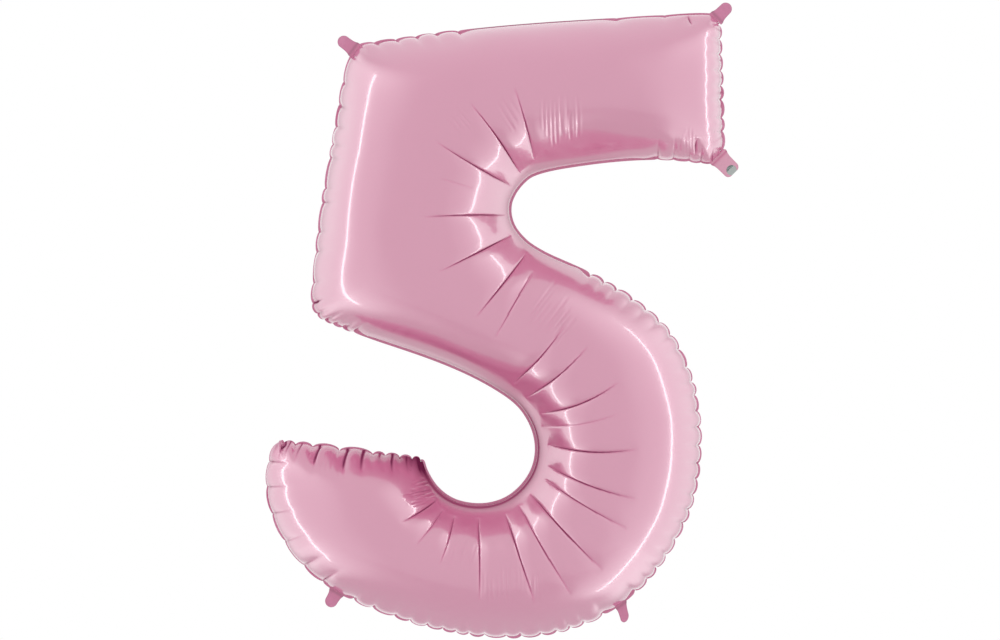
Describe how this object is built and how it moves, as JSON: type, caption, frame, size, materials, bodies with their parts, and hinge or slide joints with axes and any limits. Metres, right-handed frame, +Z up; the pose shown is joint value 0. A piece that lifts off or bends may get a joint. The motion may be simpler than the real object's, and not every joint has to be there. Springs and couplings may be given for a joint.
{
  "type": "foil number balloon",
  "caption": "Inflated pink foil balloon in the shape of the digit five, with hanging tabs at its corners and a flat filling tail with a film valve.",
  "frame": {"origin": "middle of the top left hanging tab, in the seam plane, where the balloon is hung", "axes": "+X to the digit's right as it is read, +Z up, -Y out of the front panel; the seam plane is y = 0"},
  "size_m": [0.684, 0.206, 0.919],
  "materials": {
    "pink_foil": "glossy pastel print on metallised film",
    "silver_foil": "bare metallised inner face",
    "valve_film": "clear polyethylene film"
  },
  "bodies": {
    "balloon": {"front_panel": "pink_foil", "back_panel": "pink_foil", "valve_inner_front_film": "valve_film", "valve_inner_back_film": "valve_film"},
    "filling_tail": {"filling_tail_front_ply": "pink_foil", "filling_tail_back_ply": "silver_foil", "valve_mouth_front_film": "valve_film", "valve_mouth_back_film": "valve_film"},
    "top_left_tab": {"top_left_tab_front_ply": "pink_foil", "top_left_tab_back_ply": "pink_foil"},
    "top_right_tab": {"top_right_tab_front_ply": "pink_foil", "top_right_tab_back_ply": "pink_foil"},
    "bottom_left_tab": {"bottom_left_tab_front_ply": "pink_foil", "bottom_left_tab_back_ply": "pink_foil"},
    "bottom_right_tab": {"bottom_right_tab_front_ply": "pink_foil", "bottom_right_tab_back_ply": "pink_foil"}
  },
  "joints": [
    {"name": "top_left_tab_fold", "type": "hinge", "parent": "balloon", "child": "top_left_tab", "pos_m": [0.01038, 0, -0.00782], "axis": [-0.6018, 0, -0.7986], "range_deg": [-90, 90], "stiffness_Nm_per_rad": 0.0002},
    {"name": "top_right_tab_fold", "type": "hinge", "parent": "balloon", "child": "top_right_tab", "pos_m": [0.53738, 0, 0.03818], "axis": [-0.7071, 0, 0.7071], "range_deg": [-90, 90], "stiffness_Nm_per_rad": 0.0002},
    {"name": "filling_tail_fold", "type": "hinge", "parent": "balloon", "child": "filling_tail", "pos_m": [0.54038, 0, -0.16582], "axis": [0.7071, 0, 0.7071], "range_deg": [-90, 90], "stiffness_Nm_per_rad": 0.0004},
    {"name": "bottom_left_tab_fold", "type": "hinge", "parent": "balloon", "child": "bottom_left_tab", "pos_m": [-0.01413, 0, -0.79468], "axis": [0.8615, 0, -0.5077], "range_deg": [-90, 90], "stiffness_Nm_per_rad": 0.0002},
    {"name": "bottom_right_tab_fold", "type": "hinge", "parent": "balloon", "child": "bottom_right_tab", "pos_m": [0.39846, 0, -0.8128], "axis": [0.8137, 0, 0.5812], "range_deg": [-90, 90], "stiffness_Nm_per_rad": 0.0002}
  ]
}
